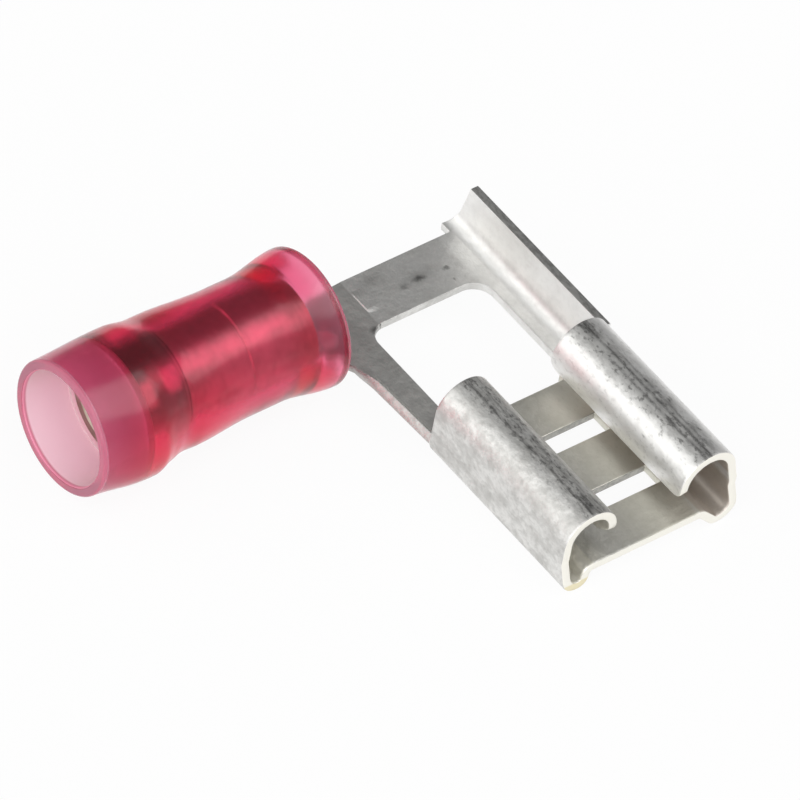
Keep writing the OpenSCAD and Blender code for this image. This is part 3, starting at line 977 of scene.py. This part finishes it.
def tin_plate():
    mat, tree, bsdf = new_material("scuffed tin plate")
    t = tin_masks(tree)
    colour, rub_and_shade = worn_rolls(t, mottled_rolls(t, plating(t)))
    for finish in (olive_floor, lit_lip, shaded_neck, arm_stains_and_shade, bare_cuts):
        colour = finish(t, colour)
    tree.links.new(colour, bsdf.inputs["Base Color"])
    bsdf.inputs["Metallic"].default_value = 1.0
    rough = calc(tree, "ADD", rise(tree, t.cloud, 0.3, 0.7, 0.42, 0.5),
                 rise(tree, t.grain, 0.4, 0.7, 0, 0.06))
    tree.links.new(calc(tree, "MULTIPLY_ADD", rub_and_shade, 0.06, rough), bsdf.inputs["Roughness"])
    bump(tree, bsdf, tin_relief(t), 0.8, 1.0)
    return mat


def tinned_tube():
    mat, tree, bsdf = new_material("tinned support tube")
    place = part_place(tree)
    x, y, z = add(tree, "SeparateXYZ", {0: place}).outputs
    drawn = noise(tree, place, 1, 3, stretch=(6, 1, 1))
    cloud = noise(tree, place, 1.6, 3)
    colour = blend(tree, rise(tree, cloud, 0.35, 0.7), TUBE_PALE, TUBE_CLOUD)
    colour = paint(tree, colour, TUBE_DRAWN, 0.4, rise(tree, drawn, 0.5, 0.75))
    # Painted shade in the tube's bore
    colour = paint(tree, colour, PAINTED_SHADE, 0.8, rise(tree, x, TUBE_X0 + 0.2, TUBE_X0 + 1.1),
                   rise(tree, length_of(tree, y, z), TUBE_IN + 0.29, TUBE_IN + 0.35, 1, 0))

    # Painted shade on the flare and on a ring at its end, with painted glints
    angle = calc(tree, "DEGREES", calc(tree, "ARCTAN2", calc(tree, "MULTIPLY", y, -1.0), z))
    glints = 0.0
    for x0, x1, soft, start, stop in GLINTS:
        glint = both(tree, band(tree, x, x0, x1, soft), band(tree, angle, start, stop, 6))
        glints = calc(tree, "MAXIMUM", glints, glint)
    shaded = both(tree, rise(tree, x, TUBE_FLARE_X - 0.3, TUBE_FLARE_X, 1, 0), band(tree, angle, -60, 75, 20),
                  calc(tree, "SUBTRACT", 1.0, glints))
    ring = band(tree, x, TUBE_FLARE_X - 0.14, TUBE_FLARE_X - 0.02, 0.06)
    colour = paint(tree, colour, TUBE_SHADE, 0.75, calc(tree, "MAXIMUM", shaded, ring))
    colour = blend(tree, glints, colour, TUBE_GLINT)
    # Painted shade on the tube's end face
    colour = paint(tree, colour, PAINTED_SHADE, 0.85, rise(tree, x, TUBE_X0 + 0.04, TUBE_X0 + 0.06, 1, 0))

    tree.links.new(colour, bsdf.inputs["Base Color"])
    bsdf.inputs["Metallic"].default_value = 1.0
    rough = calc(tree, "MULTIPLY_ADD", glints, 0.2, rise(tree, cloud, 0.3, 0.7, 0.36, 0.48))
    tree.links.new(rough, bsdf.inputs["Roughness"])
    bump(tree, bsdf, cloud, 0.5, 0.02)
    return mat


def red_nylon():
    mat, tree, bsdf = new_material("red translucent nylon")
    place = part_place(tree)
    x, y, z = add(tree, "SeparateXYZ", {0: place}).outputs
    cloud = noise(tree, place, 0.7, 3)
    fine = noise(tree, place, 4.5, 2)
    rims = calc(tree, "MAXIMUM", rise(tree, x, 0.1, 0.2, 1, 0),
                rise(tree, x, SLEEVE_LEN - 0.2, SLEEVE_LEN - 0.1))
    mouth = both(tree, rise(tree, x, SEAT_X + 0.2, SEAT_X + 0.35, 1, 0),
                 rise(tree, length_of(tree, y, z), MOUTH_BORE, MOUTH_BORE + 0.05, 1, 0))
    colour = blend(tree, rise(tree, cloud, 0.35, 0.7), NYLON_PALE, NYLON_CLOUD)
    colour = blend(tree, rise(tree, x, SEAT_X - 0.2, SEAT_X + 0.2, 1, 0), colour, NYLON_BELL)
    colour = blend(tree, mouth, colour, NYLON_MOUTH)
    colour = paint(tree, colour, NYLON_RIM, 0.9, rims)
    tree.links.new(colour, bsdf.inputs["Base Color"])

    # Clear at the waist, milky in the mouth and at the rims
    clear = calc(tree, "MULTIPLY_ADD", rims, -0.45, 1.0)
    tree.links.new(calc(tree, "MULTIPLY_ADD", mouth, -0.6, clear), bsdf.inputs["Transmission Weight"])
    bsdf.inputs["IOR"].default_value = NYLON_IOR
    satin = rise(tree, fine, 0.3, 0.7, 0.17, 0.23)
    tree.links.new(calc(tree, "MULTIPLY_ADD", mouth, 0.4, satin), bsdf.inputs["Roughness"])
    bump(tree, bsdf, cloud, 0.5, 0.04)
    tint = add(tree, "VolumeAbsorption", {"Color": NYLON_TINT, "Density": NYLON_DEPTH})
    tree.links.new(tint.outputs[0], tree.nodes["Material Output"].inputs["Volume"])
    return mat


for piece, mat in ((terminal, tin_plate()), (support, tinned_tube()), (insulation, red_nylon())):
    piece.data.materials.clear()
    piece.data.materials.append(mat)

# Floor, light and camera, in metres
STAGE_MID = (0.011, -0.006, 0)
FLOOR_SIZE = 1.2
FLOOR_PLACE = (0.01, -0.006, -BELL_R * MM)
TABLE_MATT = (0.85, 0.85, 0.85, 1)
TABLE_GLOW = 0.93
SKY_PALE = (0.62, 0.62, 0.62)
SKY_GREY = (0.19, 0.19, 0.19)
SKY_GLOW = (1.25, 1.25, 1.23)
SKY_FRONT = (2.2, 2.2, 2.2)
GREY_WAY = (0.55, 0.55, 0.63)
GLOW_WAY = (-0.78, 0.537, 0.32)
FRONT_WAY = (-0.8, -0.52, 0.3)
CAMERA_PLACE = (-0.223459, -0.258443, 0.318582)
CAMERA_TURN = (47.07253, -5.23038, -37.98523)
CAMERA_LENS = 592.4325
CAMERA_SENSOR = 36

bpy.ops.mesh.primitive_plane_add(size=FLOOR_SIZE, location=FLOOR_PLACE)
floor = newest("floor")


def white_table():
    """White surface that shows a faint shadow and reads as white in reflections and through nylon."""
    mat = bpy.data.materials.new("white table")
    mat.use_nodes = True
    tree = mat.node_tree
    tree.nodes.clear()
    path = tree.nodes.new("ShaderNodeLightPath")
    seen = calc(tree, "MAXIMUM", path.outputs["Is Camera Ray"], path.outputs["Is Glossy Ray"])
    seen = calc(tree, "MAXIMUM", seen, path.outputs["Is Transmission Ray"])
    matt = add(tree, "BsdfDiffuse", {"Color": TABLE_MATT})
    glow = add(tree, "Emission", {"Color": (1, 1, 1, 1), "Strength": 1.0})
    mix = add(tree, "MixShader", {0: calc(tree, "MULTIPLY", seen, TABLE_GLOW), 1: matt.outputs[0],
                                  2: glow.outputs[0]})
    out = tree.nodes.new("ShaderNodeOutputMaterial")
    tree.links.new(mix.outputs[0], out.inputs["Surface"])
    return mat


floor.data.materials.append(white_table())

world = bpy.data.worlds.new("studio")
bpy.context.scene.world = world
world.use_nodes = True
sky = world.node_tree
way = sky.nodes.new("ShaderNodeTexCoord").outputs["Generated"]


def toward(direction, low, high):
    """Rises from 0 to 1 as the way looked turns toward a direction."""
    near = add(sky, "VectorMath", {0: way, 1: Vector(direction).normalized()},
               operation="DOT_PRODUCT").outputs["Value"]
    return add(sky, "MapRange", {"Value": near, "From Min": low, "From Max": high}).outputs[0]


# Grey sky, bright to the left rear and, for the nylon, to the left front
side_glow = calc(sky, "POWER", toward(GLOW_WAY, 0.2, 0.99), 3.0)
sky_colour = blend(sky, toward(GREY_WAY, 0.3, 0.9), SKY_PALE, SKY_GREY)
sky_colour = blend(sky, side_glow, sky_colour, SKY_GLOW)
sky_colour = blend(sky, toward(FRONT_WAY, 0.5, 0.9), sky_colour, SKY_FRONT)
sky.links.new(sky_colour, sky.nodes["Background"].inputs["Color"])


def softbox(name, direction, distance, size, level):
    """Hangs a square lamp that faces the part."""
    lamp = bpy.data.lights.new(name, "AREA")
    lamp.shape = "SQUARE"
    lamp.size = size
    lamp.energy = level * math.pi * size * size
    obj = bpy.data.objects.new(name, lamp)
    bpy.context.scene.collection.objects.link(obj)
    d = Vector(direction).normalized()
    obj.location = Vector(STAGE_MID) + d * distance
    obj.rotation_euler = d.to_track_quat("Z", "Y").to_euler()


softbox("softbox_top", (0.35, -0.45, 0.82), distance=0.5, size=0.36, level=1.6)

cam_data = bpy.data.cameras.new("camera")
cam_data.sensor_width = CAMERA_SENSOR
cam_data.lens = CAMERA_LENS
cam_data.clip_start = 0.01
cam_data.clip_end = 10
camera = bpy.data.objects.new("camera", cam_data)
bpy.context.scene.collection.objects.link(camera)
camera.location = CAMERA_PLACE
camera.rotation_euler = [math.radians(a) for a in CAMERA_TURN]
bpy.context.scene.camera = camera

bpy.context.scene.view_settings.view_transform = "Standard"
